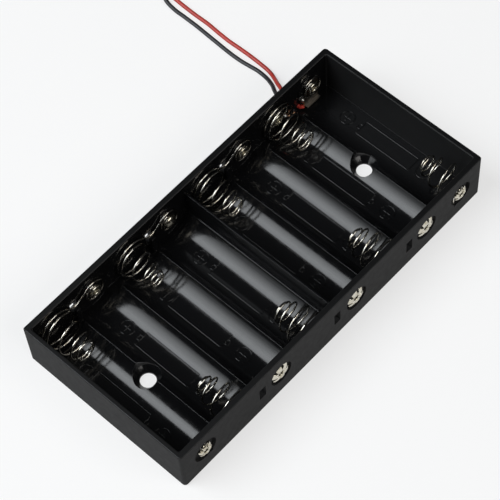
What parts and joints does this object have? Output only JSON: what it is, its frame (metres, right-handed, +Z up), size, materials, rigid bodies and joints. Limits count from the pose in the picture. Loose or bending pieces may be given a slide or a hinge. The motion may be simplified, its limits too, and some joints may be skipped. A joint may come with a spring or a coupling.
{
  "type": "cylindrical cell holder",
  "caption": "Flat open-top plastic tray that holds AA cells side by side in series, with coiled wire contacts, riveted rings, two screw holes and two leads.",
  "frame": {"origin": "centre of the tray's flat underside", "axes": "+X along the row of cells, +Y towards the wall that the leads leave by, +Z up out of the open top"},
  "size_m": [0.1351, 0.1344, 0.0176],
  "materials": {
    "black_moulding": "black moulded plastic, glossy inside, satin on the rim",
    "spring_wire": "nickel-plated spring steel wire",
    "rivet_metal": "nickel-plated rolled eyelet",
    "tag_metal": "tinned sheet steel",
    "solder": "bright tin solder",
    "link_wire": "tinned solid wire",
    "copper_strands": "fine copper strands",
    "black_insulation": "soft black insulation",
    "red_insulation": "soft red insulation",
    "tie_strip": "white paper and wire tie"
  },
  "bodies": {
    "root": {"tray": "black_moulding", "ring_1": "spring_wire", "ring_8": "spring_wire", "solder_tag_7": "tag_metal", "solder_tag_8": "tag_metal", "solder_7": "solder", "solder_8": "solder", "link_wire": "link_wire", "lead_black": "black_insulation", "lead_red": "red_insulation", "conductor_black": "copper_strands", "conductor_red": "copper_strands", "coil_black": "black_insulation", "coil_red": "red_insulation", "coil_tie": "tie_strip", "bare_end_black": "solder", "bare_end_red": "solder", "rivet_front_1": "rivet_metal", "rivet_front_3": "rivet_metal", "rivet_front_5": "rivet_metal", "rivet_front_7": "rivet_metal", "rivet_front_8": "rivet_metal", "rivet_rear_2": "rivet_metal", "rivet_rear_4": "rivet_metal", "rivet_rear_6": "rivet_metal", "rivet_rear_7": "rivet_metal", "rivet_rear_8": "rivet_metal"},
    "spring_1_wire": {"contact_1_2": "spring_wire"},
    "spring_2_wire": {"contact_2_3": "spring_wire"},
    "spring_3_wire": {"contact_3_4": "spring_wire"},
    "spring_4_wire": {"contact_4_5": "spring_wire"},
    "spring_5_wire": {"contact_5_6": "spring_wire"},
    "spring_6_wire": {"contact_6_7": "spring_wire"},
    "spring_7_wire": {"spring_7": "spring_wire"},
    "spring_8_wire": {"spring_8": "spring_wire"}
  },
  "joints": [
    {"name": "spring_1_press", "type": "slide", "parent": "root", "child": "spring_1_wire", "axis": [0, 1, 0], "range_m": [0, 0.0085], "stiffness_N_per_m": 300, "deforming": ["contact_1_2"]},
    {"name": "spring_2_press", "type": "slide", "parent": "root", "child": "spring_2_wire", "axis": [0, -1, 0], "range_m": [0, 0.0085], "stiffness_N_per_m": 300, "deforming": ["contact_2_3"]},
    {"name": "spring_3_press", "type": "slide", "parent": "root", "child": "spring_3_wire", "axis": [0, 1, 0], "range_m": [0, 0.0085], "stiffness_N_per_m": 300, "deforming": ["contact_3_4"]},
    {"name": "spring_4_press", "type": "slide", "parent": "root", "child": "spring_4_wire", "axis": [0, -1, 0], "range_m": [0, 0.0085], "stiffness_N_per_m": 300, "deforming": ["contact_4_5"]},
    {"name": "spring_5_press", "type": "slide", "parent": "root", "child": "spring_5_wire", "axis": [0, 1, 0], "range_m": [0, 0.0085], "stiffness_N_per_m": 300, "deforming": ["contact_5_6"]},
    {"name": "spring_6_press", "type": "slide", "parent": "root", "child": "spring_6_wire", "axis": [0, -1, 0], "range_m": [0, 0.0085], "stiffness_N_per_m": 300, "deforming": ["contact_6_7"]},
    {"name": "spring_7_press", "type": "slide", "parent": "root", "child": "spring_7_wire", "axis": [0, 1, 0], "range_m": [0, 0.0085], "stiffness_N_per_m": 300, "deforming": ["spring_7"]},
    {"name": "spring_8_press", "type": "slide", "parent": "root", "child": "spring_8_wire", "axis": [0, -1, 0], "range_m": [0, 0.0085], "stiffness_N_per_m": 300, "deforming": ["spring_8"]}
  ]
}
